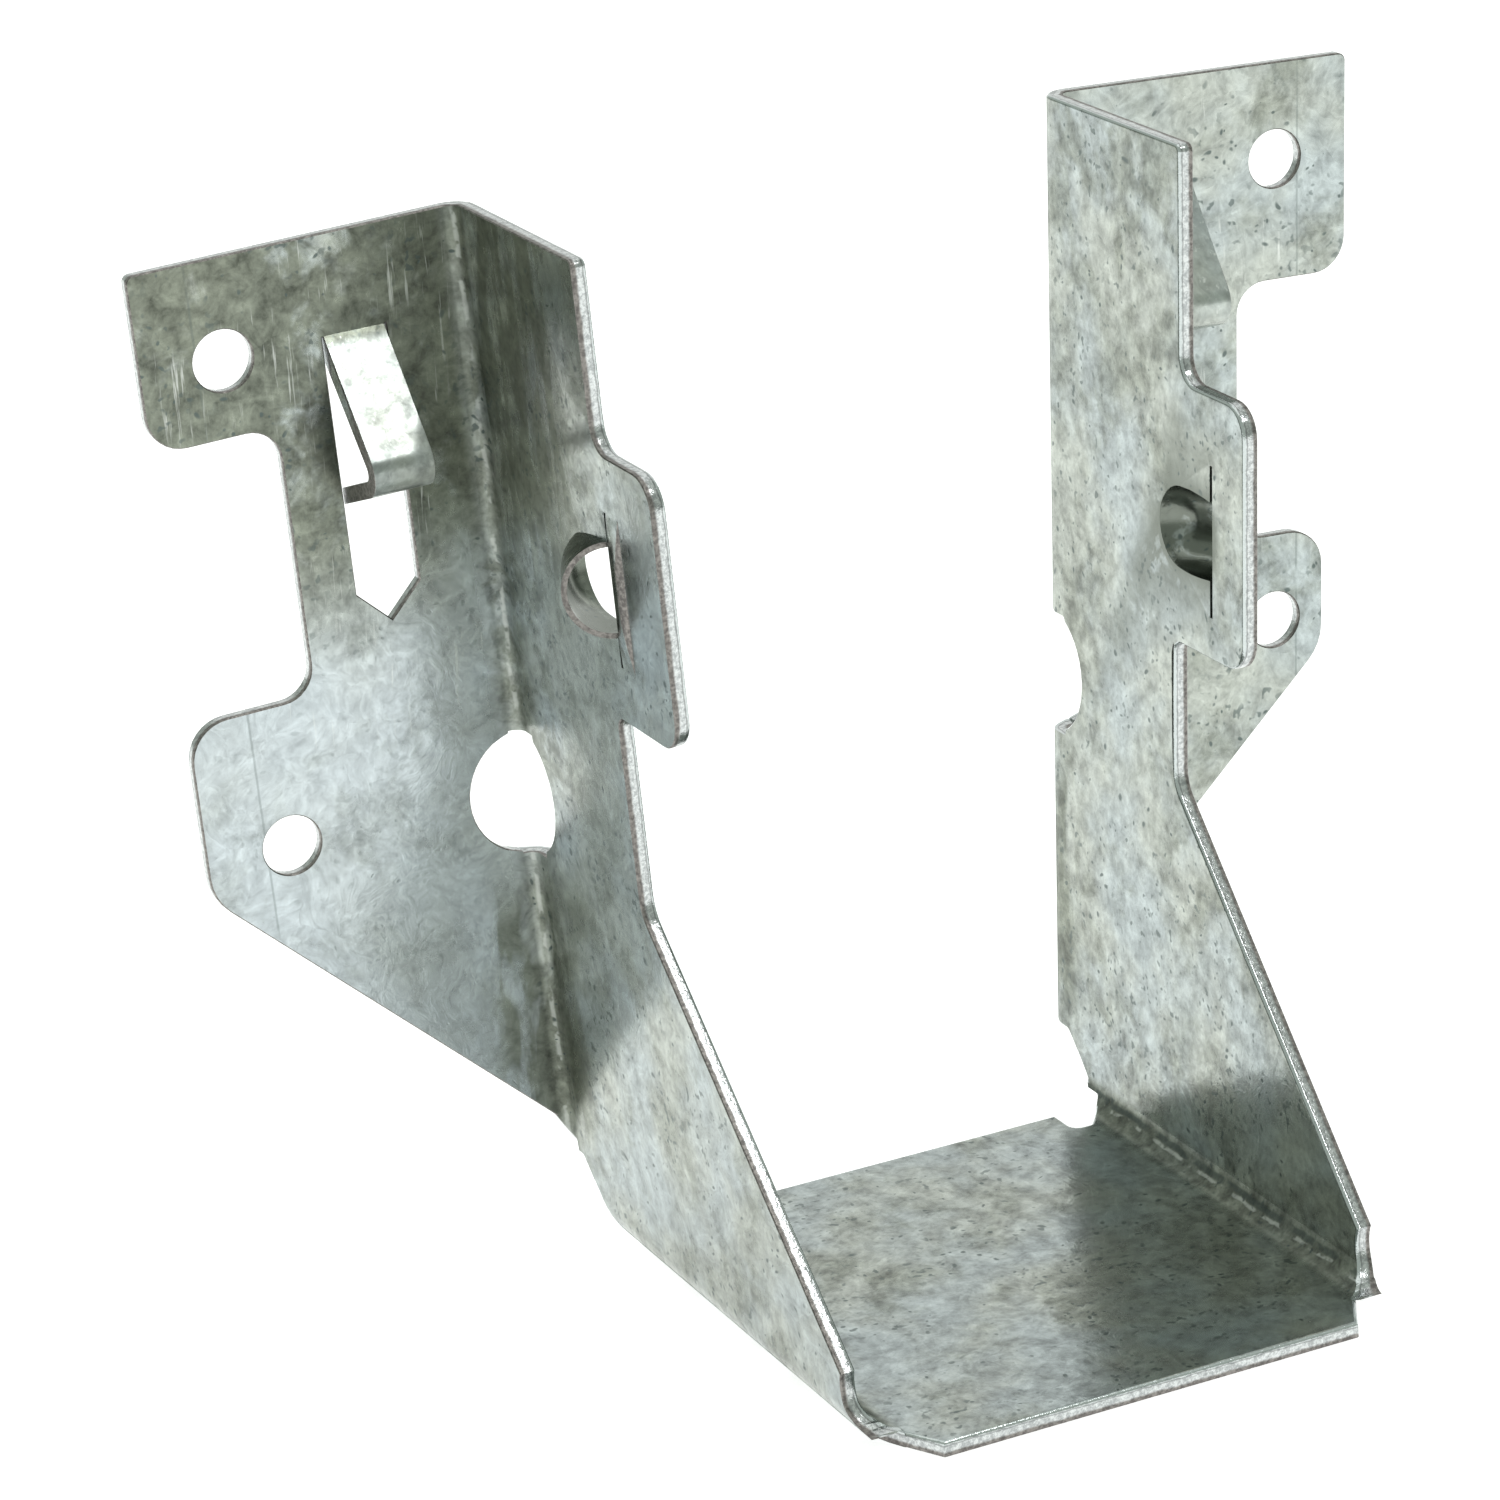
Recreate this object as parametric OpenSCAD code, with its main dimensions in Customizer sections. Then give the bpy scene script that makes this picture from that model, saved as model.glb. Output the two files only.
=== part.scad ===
// Face-mount joist hanger, folded from one blank of galvanised sheet.
// The origin is the middle of the seat's underside. The joist lies along y, the flanges stand in the
// header plane behind the seat (+y), and the channel's centre line is x = 0. Millimetres, +Z up.

/* [Channel] */
// Inside width of the joist channel, just above the seat bends
channel_w = 40; // [36:0.1:60]
// Height of the sides, measured along the sheet
hanger_h = 79.4; // [76:0.1:100]
// Distance from the header plane to the front edge of the seat
seat_depth = 51.3; // [46:0.1:70]
// Gap between the header plane and the back edge of the seat
seat_setback = 7.9; // [7.5:0.1:9]
// How far each side springs open from upright, in degrees
side_open = 2.3; // [0:0.1:4]

/* [Sheet] */
// Thickness of the sheet
sheet_t = 1.2; // [0.9:0.05:1.4]
// Inside radius of the bends between the seat and the sides
seat_bend_r = 2; // [1.5:0.1:2.5]
// Inside radius of the bends between the sides and the flanges
flange_bend_r = 1; // [0.8:0.1:1.4]
// Radius of the small corners left by the blanking die
corner_r = 0.6; // [0.3:0.1:0.8]

/* [Sides] */
// Depth of a side above its ear
top_depth = 21; // [19:0.1:24]
// Depth of a side below its ear
neck_depth = 19.9; // [18:0.1:22]
// Depth of a side at its ear, which carries the nail dome
ear_depth = 29.9; // [28.5:0.1:34]
// Height of an ear
ear_h = 19.8; // [19:0.1:22]
// Height of the left ear's top above the seat
left_ear_top = 65.9; // [64:0.1:68]
// Height of the right ear's top, lower so that neighbouring blanks nest
right_ear_top = 62.1; // [60:0.1:64]

/* [Flanges] */
// Reach of a flange's upper lug, from the inner face of its side
flange_reach = 26; // [25:0.1:32]
// Reach of the left flange's lower lug
left_lug_reach = 26.3; // [24:0.1:32]
// Reach of the right flange's lower lug
right_lug_reach = 24.1; // [24:0.1:32]
// Reach of the narrow part of a flange, beside the recess
flange_neck = 16.5; // [15.5:0.1:18]
// Height of the recess, which nests with the ear of the next blank
recess_h = 20.3; // [19:0.1:21]
// Height of the left flange's slanting lower edge where it leaves the bend
left_foot_z = 8.7; // [7.5:0.1:11.5]
// Height of the right flange's slanting lower edge where it leaves the bend
right_foot_z = 10.8; // [7.5:0.1:11.5]
// Diameter of the nail holes
nail_hole_d = 4.5; // [4:0.1:5]
// Distance of the nail holes from the inner face of the side
nail_hole_x = 19.8; // [19:0.1:20.5]
// Height of the upper nail hole
upper_hole_z = 72; // [71:0.1:73]
// Height of the lower nail hole
lower_hole_z = 35.4; // [34:0.1:36]
// Diameter of the relief hole on each bend line
bend_hole_d = 9.7; // [8:0.1:11]
// Height of the relief hole on each bend line
bend_hole_z = 34.8; // [32:0.1:36]

/* [Prongs] */
// Width of the slot that a prong is cut from
slot_w = 4.9; // [4:0.1:5.4]
// Distance of the slot's centre from the inner face of the side
slot_x = 9.9; // [9.5:0.1:10.5]
// Height of the hinge, at the top of the slot
prong_top_z = 72; // [71:0.1:73]
// Height of the slot's pointed lower end
slot_tip_z = 50.3; // [49:0.1:52]
// How far the knee's corner would stand forward of the header plane, unrounded
prong_knee_y = 8.9; // [7:0.1:10]
// Height of the knee's corner
prong_knee_z = 62.2; // [61:0.1:64]
// How far the point stands behind the header plane, ready to be driven in
prong_tip_y = 1.5; // [1:0.1:3]
// Height of the point
prong_tip_z = 58.7; // [57:0.1:59]

/* [Nail domes] */
// Half the height of a dome, outside
dome_r = 3.55; // [3.2:0.05:4.2]
// Length of a dome along its axis, which slants in through the side as the nail does
dome_len = 8; // [7:0.1:9.5]
// Slant of a dome's axis, in degrees
dome_tilt = 24; // [18:1:30]
// Distance of the left dome's mouth from the header plane
left_dome_y = 21.7; // [21:0.1:24]
// Distance of the right dome's mouth from the header plane
right_dome_y = 25.2; // [24:0.1:26]
// Distance of the left dome's middle below the top of its ear
left_dome_drop = 9.9; // [9:0.1:11.5]
// Distance of the right dome's middle below the top of its ear
right_dome_drop = 10.9; // [9:0.1:11.5]
// Length of the slit at a dome's mouth
slit_h = 11.4; // [10:0.1:12]

/* [Hidden] */
$fn = 64;
zinc = [0.66, 0.69, 0.69];
eps = 0.01;
// Steps in a quarter turn of an outline's rounded corner
corner_steps = 8;
// The sides are drawn from the header plane, and the origin is under the middle of the seat
header_y = (seat_depth + seat_setback) / 2;
// Where the flat of a side or a flange starts, past the bend between them
flange_flat = sheet_t + flange_bend_r;
// Height of the axis of the seat bends, where the flat of a side starts
bend_z = sheet_t + seat_bend_r;
// Half the width of the flat of the seat
seat_flat = channel_w / 2 - seat_bend_r;
// The front edge of a side would reach this far at the height of the seat, at its 45 degree slope
slope_y = seat_depth - 0.3;
// The relief at the bottom of the back edge: its height, and where its 45 degree slant begins
relief_z = 5.8;
relief_y = 3.1;
// Where the slant meets the axis of the seat bends
bend_back_y = relief_y + relief_z - bend_z;
// The recess in a flange starts a little above the top of the ear
recess_rise = 0.5;
// The bite beside the seat's back corner: its inner edge and its depth
bite_x = seat_flat - 1.9;
bite_y = seat_setback + 3;
// The notch at the front of each seat bend: its radius and its centre
notch_r = 3;
notch_y = seat_depth - 2.9;
notch_z = 4.1;
// Half the length of the seat's straight front edge
seat_front_x = seat_flat - 1.5;
// A dome's axis leaves its mouth at the outer face of the side, and its wall is drawn thin
dome_axis_x = sheet_t;
dome_wall = 0.4;
// The slit at a dome's mouth, and the lip in front of it
slit_w = 0.35;
lip_h = 0.4;
lip_r = 1.4;
// The relief holes are centred on the middle of the bend in the flat sheet
bend_hole_y = flange_flat - PI / 4 * (flange_bend_r + sheet_t / 2);
// The prong is a little narrower than its slot
prong_gap = 0.15;

function unit(v) = v / norm(v);

// Points of the arc that rounds corner b between its neighbours a and c, where b[2] is the radius
function corner(a, b, c) =
    let (
        p = [b[0], b[1]],
        u = unit([a[0], a[1]] - p),
        v = unit([c[0], c[1]] - p),
        half = acos(u * v) / 2,
        centre = p + unit(u + v) * b[2] / sin(half),
        start = p + u * b[2] / tan(half) - centre,
        turn = (180 - 2 * half) * sign(u[1] * v[0] - u[0] * v[1]),
        steps = max(2, ceil(corner_steps * abs(turn) / 90))
    )
    [for (i = [0:steps])
        let (w = turn * i / steps)
        centre + [start[0] * cos(w) - start[1] * sin(w), start[0] * sin(w) + start[1] * cos(w)]];

// An outline of [x, y, radius] points, with each corner rounded by its own radius
function rounded(pts) =
    let (n = len(pts))
    [for (i = [0:n - 1]) each pts[i][2] == 0
        ? [[pts[i][0], pts[i][1]]]
        : corner(pts[(i + n - 1) % n], pts[i], pts[(i + 1) % n])];

// Extrudes an outline drawn in (y, z) along x
module along_x(h) {
    rotate([90, 0, 90]) linear_extrude(h) children();
}

// Extrudes an outline drawn in (x, z) towards -y
module along_y(h) {
    rotate([90, 0, 0]) linear_extrude(h) children();
}

// The flat of a side: top, ear, neck and sloping front edge
module side_plate(ear_top) {
    ear_foot = ear_top - ear_h;
    along_x(sheet_t) polygon(rounded([
        [-flange_flat, hanger_h, 0],
        [-top_depth, hanger_h, corner_r],
        [-top_depth, ear_top, 2],
        [-ear_depth, ear_top, 2.4],
        [-ear_depth, ear_foot, 2.4],
        [-neck_depth, ear_foot, 1],
        [-neck_depth, slope_y - neck_depth, 3],
        [bend_z - slope_y, bend_z, 0],
        [-bend_back_y, bend_z, 0],
        [-relief_y, relief_z, corner_r],
        [-flange_flat, relief_z, 0],
    ]));
}

// The upright bend between a side and its flange, which starts higher on the flange
module flange_bend(foot_z) {
    difference() {
        translate([flange_flat, -flange_flat, relief_z]) rotate([0, 0, 90])
            rotate_extrude(angle = 90) translate([flange_bend_r, 0])
                square([sheet_t, hanger_h - relief_z]);
        translate([0, eps, 0]) along_y(flange_flat + 2 * eps) polygon([
            [sheet_t / 2, relief_z - 1],
            [sheet_t / 2, relief_z],
            [flange_flat + eps, foot_z],
            [flange_flat + eps, relief_z - 1],
        ]);
    }
}

// The flat of a flange: upper lug, recess and lower lug
module flange_plate(ear_top, lug_reach, foot_z) {
    recess_top = ear_top + recess_rise;
    recess_foot = recess_top - recess_h;
    along_y(sheet_t) polygon(rounded([
        [flange_flat, hanger_h, 0],
        [flange_reach, hanger_h, corner_r],
        [flange_reach, recess_top, 2.7],
        [flange_neck, recess_top, 2.4],
        [flange_neck, recess_foot, 2.4],
        [lug_reach, recess_foot, 3],
        [lug_reach, foot_z + lug_reach - flange_flat, 4],
        [flange_flat, foot_z, 0],
    ]));
}

// The slot in a flange, pointed at its lower end
module prong_slot() {
    translate([slot_x, 1, 0]) along_y(sheet_t + 2) polygon([
        [-slot_w / 2, prong_top_z],
        [slot_w / 2, prong_top_z],
        [slot_w / 2, slot_tip_z + slot_w / 2],
        [0, slot_tip_z],
        [-slot_w / 2, slot_tip_z + slot_w / 2],
    ]);
}

// The prong: folded forward out of its slot, with its point turned back through it
module prong() {
    width = slot_w - 2 * prong_gap;
    inner_r = 0.7;
    hinge = [-sheet_t, prong_top_z];
    knee = [-prong_knee_y, prong_knee_z];
    tip = [prong_tip_y, prong_tip_z];
    fall = unit(knee - hinge);
    back = unit(tip - knee);
    half = acos(-fall * back) / 2;
    knee_in = knee + unit(back - fall) * sheet_t / sin(half);
    tip_in = tip + [-back[1], back[0]] * sheet_t;
    difference() {
        translate([slot_x - width / 2, 0, 0]) along_x(width) polygon(rounded([
            [-sheet_t, prong_top_z + 1, 0],
            [hinge[0], hinge[1], 0],
            [knee[0], knee[1], sheet_t + inner_r],
            [tip[0], tip[1], 0],
            [tip_in[0], tip_in[1], 0],
            [knee_in[0], knee_in[1], inner_r],
            [0, prong_top_z - sheet_t, 0],
            [0, prong_top_z + 1, 0],
        ]));
        for (side = [0, 1])
            translate([slot_x, 0, prong_tip_z - 4]) mirror([side, 0, 0]) linear_extrude(8) polygon([
                [0, prong_tip_y],
                [slot_w, prong_tip_y - slot_w],
                [slot_w, prong_tip_y + 2],
                [0, prong_tip_y + 2],
            ]);
    }
}

// A round-nosed bar along the dome's slanting axis, kept outside x = flat. It starts square to its
// axis, at start.
module dome_form(r, flat, start) {
    straight = dome_len - dome_r;
    intersection() {
        translate([dome_axis_x, 0, 0]) rotate([0, 0, dome_tilt]) {
            translate([0, start, 0]) rotate([-90, 0, 0]) cylinder(h = straight - start, r = r);
            translate([0, straight, 0]) sphere(r);
        }
        translate([flat, -slit_w / 2, -r - 1]) cube([2 * dome_len, 2 * dome_len, 2 * r + 2]);
    }
}

// The dome that guides a slanting nail, pressed out of the side and open at the front
module dome_shell() {
    dome_form(dome_r, sheet_t / 2, 0);
}

// The inside of the dome, open through the side and at its mouth
module dome_hollow() {
    dome_form(dome_r - dome_wall, -1, -dome_r);
}

// A low lip along the front of the slit, fading out at both ends
module dome_lip() {
    bow_r = (pow(slit_h / 2, 2) + pow(lip_h, 2)) / (2 * lip_h);
    intersection() {
        translate([sheet_t + lip_h - lip_r, -slit_w - 0.95, -slit_h / 2])
            cylinder(h = slit_h, r = lip_r);
        translate([sheet_t + lip_h - bow_r, 0, 0]) rotate([90, 0, 0])
            cylinder(h = 3, r = bow_r, $fn = 128);
        translate([sheet_t / 2, -3, -slit_h / 2]) cube([sheet_t, 3, slit_h]);
    }
}

// One side with its flange, upright: the inner face is x = 0 and the header plane y = 0
module wing(ear_top, dome_y, dome_drop, lug_reach, foot_z) {
    dome_z = ear_top - dome_drop;
    difference() {
        union() {
            side_plate(ear_top);
            flange_bend(foot_z);
            flange_plate(ear_top, lug_reach, foot_z);
            translate([0, -dome_y, dome_z]) dome_shell();
            translate([0, -dome_y, dome_z]) dome_lip();
        }
        translate([0, -dome_y, dome_z]) dome_hollow();
        translate([-1, -dome_y - slit_w, dome_z - slit_h / 2]) cube([sheet_t + 2, slit_w, slit_h]);
        for (z = [upper_hole_z, lower_hole_z])
            translate([nail_hole_x, 1, z]) rotate([90, 0, 0])
                cylinder(h = sheet_t + 2, d = nail_hole_d);
        translate([bend_hole_y, 1, bend_hole_z]) rotate([90, 0, 0])
            cylinder(h = flange_flat + 2, d = bend_hole_d);
        translate([-1, -bend_hole_y, bend_hole_z]) rotate([0, 90, 0])
            cylinder(h = sheet_t + 2, d = bend_hole_d);
        prong_slot();
    }
    prong();
}

// The flat of the seat, before its corners are cut
module seat_plate() {
    translate([-seat_flat, -seat_depth, 0]) cube([2 * seat_flat, seat_depth - seat_setback, sheet_t]);
}

// The bend between the seat and the right side
module seat_bend() {
    translate([seat_flat, -bend_back_y, bend_z]) rotate([90, 0, 0]) rotate([0, 0, -90])
        rotate_extrude(angle = 90 - side_open) translate([seat_bend_r, 0])
            square([sheet_t, seat_depth - bend_back_y]);
}

// Cuts the notch that parts the seat's front corner from the side
module front_notch() {
    floor_z = notch_z - notch_r;
    reach = seat_bend_r + sheet_t + 4;
    translate([seat_flat, -notch_y, notch_z]) rotate([0, 90, 0]) cylinder(h = reach, r = notch_r);
    translate([seat_flat + 0.3, -seat_depth - 1, floor_z]) cube([reach, seat_depth + 1 - notch_y, notch_r]);
    translate([0, 0, -1]) linear_extrude(floor_z + 1 + eps) polygon([
        [seat_front_x, -seat_depth - eps],
        [seat_flat + 0.3, 0.4 - notch_y],
        [seat_flat + 1.2, 1.8 - notch_y],
        [seat_flat + 2, notch_r - notch_y],
        [seat_flat + reach, notch_r - notch_y],
        [seat_flat + reach, -seat_depth - eps],
    ]);
}

// Cuts the relief that slants down the back of a seat bend into the bite beside the seat
module back_relief() {
    slant = relief_y + relief_z;
    translate([seat_flat, 0, 0]) along_x(seat_bend_r + sheet_t + 1) polygon([
        [-bend_back_y + 1, bend_z + 1 - 2 * eps],
        [-bend_back_y - 2, bend_z - 2],
        [-bend_back_y - 2, -1],
        [-bend_back_y + 1, -1],
    ]);
    translate([0, 0, -1]) linear_extrude(bend_z) polygon(rounded([
        [bite_x, eps - bend_back_y, 0],
        [bite_x, -bite_y, 0.8],
        [seat_flat - 0.4, -bite_y, 0.3],
        [seat_flat + 2.2, -bend_back_y - 2, 0],
        [seat_flat + 2.2, eps - bend_back_y, 0],
    ]));
}

// The cuts at the front and the back of the right seat bend
module bend_cuts() {
    front_notch();
    back_relief();
}

// The right half above the seat: bend, side and flange. Each is cut before they join.
module right_half(ear_top, dome_y, dome_drop, lug_reach, foot_z) {
    difference() {
        seat_bend();
        bend_cuts();
    }
    difference() {
        translate([seat_flat, 0, bend_z]) rotate([0, side_open, 0])
            translate([seat_bend_r, 0, -bend_z])
                wing(ear_top, dome_y, dome_drop, lug_reach, foot_z);
        bend_cuts();
    }
}

module joist_hanger() {
    color(zinc) translate([0, header_y, 0]) {
        difference() {
            seat_plate();
            for (side = [0, 1]) mirror([side, 0, 0]) bend_cuts();
        }
        right_half(right_ear_top, right_dome_y, right_dome_drop, right_lug_reach, right_foot_z);
        mirror([1, 0, 0])
            right_half(left_ear_top, left_dome_y, left_dome_drop, left_lug_reach, left_foot_z);
    }
}

joist_hanger();
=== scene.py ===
# %% [markdown]
# # A joist hanger in galvanised sheet
# A joist hanger is a stirrup that is nailed to a beam and carries the end of a joist. This one is a
# single blank, punched and folded. Its solid comes from the CAD frame. Blender gives it what a
# drawing leaves out: rims that the die rolled over, cuts that show torn metal, zinc with its
# crystals and stains, and light to see them by.
#
# Each code cell does one small step and prints what it made, so that a mistake shows at once.

# %% Load the frame
import math

import bmesh
import bpy
from mathutils import Matrix, Vector


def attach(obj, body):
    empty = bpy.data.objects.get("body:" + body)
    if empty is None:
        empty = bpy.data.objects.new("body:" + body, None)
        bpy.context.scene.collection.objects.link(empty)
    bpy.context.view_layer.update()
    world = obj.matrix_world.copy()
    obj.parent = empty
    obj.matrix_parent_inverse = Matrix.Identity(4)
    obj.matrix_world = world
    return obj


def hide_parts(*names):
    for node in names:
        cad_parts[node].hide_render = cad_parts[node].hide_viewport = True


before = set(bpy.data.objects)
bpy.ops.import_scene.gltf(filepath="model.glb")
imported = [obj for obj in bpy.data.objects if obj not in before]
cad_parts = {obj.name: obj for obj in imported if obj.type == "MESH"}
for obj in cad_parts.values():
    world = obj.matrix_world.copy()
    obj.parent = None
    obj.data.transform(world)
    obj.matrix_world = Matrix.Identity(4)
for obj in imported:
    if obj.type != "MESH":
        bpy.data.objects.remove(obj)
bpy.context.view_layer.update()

MM = 0.001

# %% [markdown]
# ## The camera
# The hanger is seen from the left and a little above: the outside of its left half and the inside
# of its right half. A short lens close by would splay the two walls of the channel, so a long lens
# stands farther off and keeps them nearly parallel. The camera comes first, so that every later
# choice is judged through it. Its turn is built from its own three axes, which needs no target
# object and lets it be rolled by an exact angle.

# %% Camera
LENS, SENSOR = 133.78, 36.0
AZIMUTH, ELEVATION, ROLL = (math.radians(a) for a in (-24.580, 20.124, -4.049))
CAMERA_AT = Vector((-166.82, -326.64, 176.79)) * MM

back = Vector((math.sin(AZIMUTH) * math.cos(ELEVATION),
               -math.cos(AZIMUTH) * math.cos(ELEVATION),
               math.sin(ELEVATION)))
level_right = Vector((math.cos(AZIMUTH), math.sin(AZIMUTH), 0))
level_up = back.cross(level_right)
right = level_right * math.cos(ROLL) + level_up * math.sin(ROLL)
up = level_up * math.cos(ROLL) - level_right * math.sin(ROLL)

lens = bpy.data.cameras.new("camera")
lens.sensor_width, lens.lens = SENSOR, LENS
lens.clip_start, lens.clip_end = 0.01, 20
camera = bpy.data.objects.new("camera", lens)
camera.matrix_world = Matrix((right, up, back)).transposed().to_4x4()
camera.location = CAMERA_AT
bpy.context.scene.collection.objects.link(camera)
bpy.context.scene.camera = camera
bpy.context.scene.view_settings.view_transform = "Standard"
print("lens", LENS, "mm, at", [round(v / MM) for v in CAMERA_AT])

# %% [markdown]
# ## Where a point lies in the sheet
# The part is one folded sheet, so every point of it has a depth: 0 on the face inside the channel,
# 1 on the face outside. Ray casts could find it, but they miss at holes and rims. Unfolding always
# works: a point beside the seat is turned upright by the angle that the sides spring open, and a
# point in a bend is read by its distance from the bend's axis.

# %% The sheet's own sizes
SHEET = 1.2 * MM                              # thickness
SEAT_BEND, FLANGE_BEND = 2.0 * MM, 1.0 * MM   # inner radius of the seat's and the flanges' bends
SEAT_HALF = 18.0 * MM                         # from the middle of the seat to where its bend starts
LEAN = math.radians(2.3)                      # how far each side springs open
HEADER = 29.6 * MM                            # the plane where the flanges meet the beam
BEND_Z = SHEET + SEAT_BEND                    # height of the seat bend's axis
FLAT = SHEET + FLANGE_BEND                    # from either face to the flange bend's axis


def upright(p):
    """The point with its side turned upright: out from the inner face, on from the header, up."""
    x, z = abs(p.x) - SEAT_HALF, p.z - BEND_Z
    return Vector((x * math.cos(LEAN) - z * math.sin(LEAN) - SEAT_BEND,
                   p.y - HEADER,
                   x * math.sin(LEAN) + z * math.cos(LEAN) + BEND_Z))


on_left = upright(Vector((-22, 0, 70)) * MM)
print("a point on the left side, upright:", [round(v / MM, 1) for v in on_left])


# %% Depth through the sheet
def leaning(v, side):
    """Turns a direction that was measured upright back to how the side leans."""
    return Vector((side * (v.x * math.cos(LEAN) + v.z * math.sin(LEAN)),
                   v.y,
                   v.z * math.cos(LEAN) - v.x * math.sin(LEAN)))


def in_sheet(p):
    """A point's depth through the sheet, and the direction that points out of the sheet there."""
    side = math.copysign(1, p.x)
    q = upright(p)
    if abs(p.x) <= SEAT_HALF:
        return 1 - p.z / SHEET, Vector((0, 0, -1))
    if q.z < BEND_Z:
        arm = Vector((abs(p.x) - SEAT_HALF, 0, p.z - BEND_Z))
        return (arm.length - SEAT_BEND) / SHEET, Vector((side * arm.x, 0, arm.z)).normalized()
    if q.x > FLAT and q.y > -FLAT:
        return -q.y / SHEET, Vector((0, -1, 0))
    if q.y > -FLAT:
        arm = Vector((q.x - FLAT, q.y + FLAT, 0))
        return (FLAT - arm.length) / SHEET, leaning(-arm.normalized(), side)
    return q.x / SHEET, leaning(Vector((1, 0, 0)), side)


print("depth on the seat's underside:", in_sheet(Vector((0, 0, 0)))[0])

# %% [markdown]
# ## The sheet
# The CAD mesh is loose triangles, and it stays as it is. A copy of it has its doubles merged and
# its flat faces joined, which gives clean long edges for a bevel to follow. The copy then stands
# for the CAD node. Folding a new sheet from a plane would also work, but every hole would have to
# be placed again.

# %% Copy and clean the folded sheet
FLAT_ENOUGH = math.radians(0.4)

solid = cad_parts["joist_hanger"]
bpy.ops.object.select_all(action="DESELECT")
sheet = bpy.data.objects.new("folded_sheet", solid.data.copy())
bpy.context.scene.collection.objects.link(sheet)
sheet.select_set(True)
bpy.context.view_layer.objects.active = sheet
bpy.ops.object.mode_set(mode="EDIT")
bpy.ops.mesh.customdata_custom_splitnormals_clear()
bpy.ops.mesh.select_all(action="SELECT")
bpy.ops.mesh.remove_doubles(threshold=0.002 * MM)
bpy.ops.mesh.dissolve_limited(angle_limit=FLAT_ENOUGH)
bpy.ops.object.mode_set(mode="OBJECT")
print("sheet has", len(sheet.data.polygons), "faces")

# %% [markdown]
# ## The clipped front corners of the seat
# The press clips each front corner of the seat through the whole sheet. The solid still has a film
# a tenth of a millimetre thick over the clip. Deleting faces would leave a hole to patch, so a
# Boolean cuts the film away with a block that lies on the line of the clip. The block stands two
# thousandths of a millimetre off that line, because faces that lie exactly in each other make
# slivers.

# %% Cut the film away
CLIP_FRONT, CLIP_BACK = Vector((16.5, -21.71, 0.6)) * MM, Vector((18.3, -18.4, 0.6)) * MM
BLOCK_PAST, BLOCK_WIDE, BLOCK_HIGH = 1.0 * MM, 3.0 * MM, 0.8 * MM
OFF_LINE = 0.002 * MM

for side in (-1, 1):
    front, rear = (Vector((side * p.x, p.y, p.z)) for p in (CLIP_FRONT, CLIP_BACK))
    along = (rear - front).normalized()
    outward = Vector((-along.y, along.x, 0)) * (-side)
    start = front - along * BLOCK_PAST
    bpy.ops.mesh.primitive_cube_add(size=1)
    block = bpy.context.active_object
    middle = (start + rear) / 2 + outward * (BLOCK_WIDE / 2 + OFF_LINE)
    block.matrix_world = (Matrix.Translation(middle + Vector((0, 0, BLOCK_HIGH / 2)))
                          @ Matrix.Rotation(math.atan2(along.y, along.x), 4, "Z")
                          @ Matrix.Diagonal(((rear - start).length, BLOCK_WIDE, BLOCK_HIGH, 1)))
    trim = sheet.modifiers.new("trim", "BOOLEAN")
    trim.operation, trim.object, trim.solver = "DIFFERENCE", block, "EXACT"
    bpy.context.view_layer.objects.active = sheet
    bpy.ops.object.modifier_apply(modifier=trim.name)
    bpy.data.objects.remove(block)
print("after the cut:", len(sheet.data.polygons), "faces")

# %% [markdown]
# ## Crumbs
# A cut like this leaves crumbs: points a tenth of a millimetre apart, and faces split by edges that
# turn no corner. They would trip the bevels, so the first are merged and the second dissolved.


# %% Clear the crumbs
def select_only(kind, wanted):
    """Selects just the vertices or edges that pass a test, and says how many there are."""
    bpy.ops.mesh.select_mode(type=kind)
    bm = bmesh.from_edit_mesh(sheet.data)
    for part in (*bm.verts, *bm.edges, *bm.faces):
        part.select = False
    picked = [part for part in (bm.verts if kind == "VERT" else bm.edges) if wanted(part)]
    for part in picked:
        part.select = True
    bm.select_flush_mode()
    bmesh.update_edit_mesh(sheet.data)
    return len(picked)


def is_crumb(v):
    return (abs(abs(v.co.x) - 18.15 * MM) < 0.2 * MM and -19.1 * MM < v.co.y < -18.0 * MM
            and 1.0 * MM < v.co.z < 1.3 * MM)


def is_ledge(e):
    return (all(abs(v.co.z - 1.105 * MM) < 0.02 * MM for v in e.verts)
            and len(e.link_faces) == 2 and e.calc_face_angle(0) < math.radians(3))


sheet.select_set(True)
bpy.ops.object.mode_set(mode="EDIT")
bpy.ops.mesh.select_all(action="SELECT")
bpy.ops.mesh.remove_doubles(threshold=0.006 * MM)
bpy.ops.mesh.dissolve_limited(angle_limit=FLAT_ENOUGH)
print("crumbs:", select_only("VERT", is_crumb))
bpy.ops.mesh.remove_doubles(threshold=0.13 * MM)
print("ledge edges:", select_only("EDGE", is_ledge))
bpy.ops.mesh.dissolve_edges(use_verts=True)
print("open edges:", sum(len(e.link_faces) != 2 for e in bmesh.from_edit_mesh(sheet.data).edges))

# %% [markdown]
# ## Die-cut edges
# A punch pushes the sheet into a die. The face it enters draws down and rolls over, and the face
# it leaves ends in a crisp burr. On this part the punch came from the side that is now inside the
# channel. A bevel does both: wide and rounded on the inner rims, very small on the outer ones, so
# that each still catches a thread of light. A Bevel modifier limited by angle would round the folds
# too, so the edges are picked by the faces beside them: one lies along the sheet, and the other is
# a cut through it.

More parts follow.
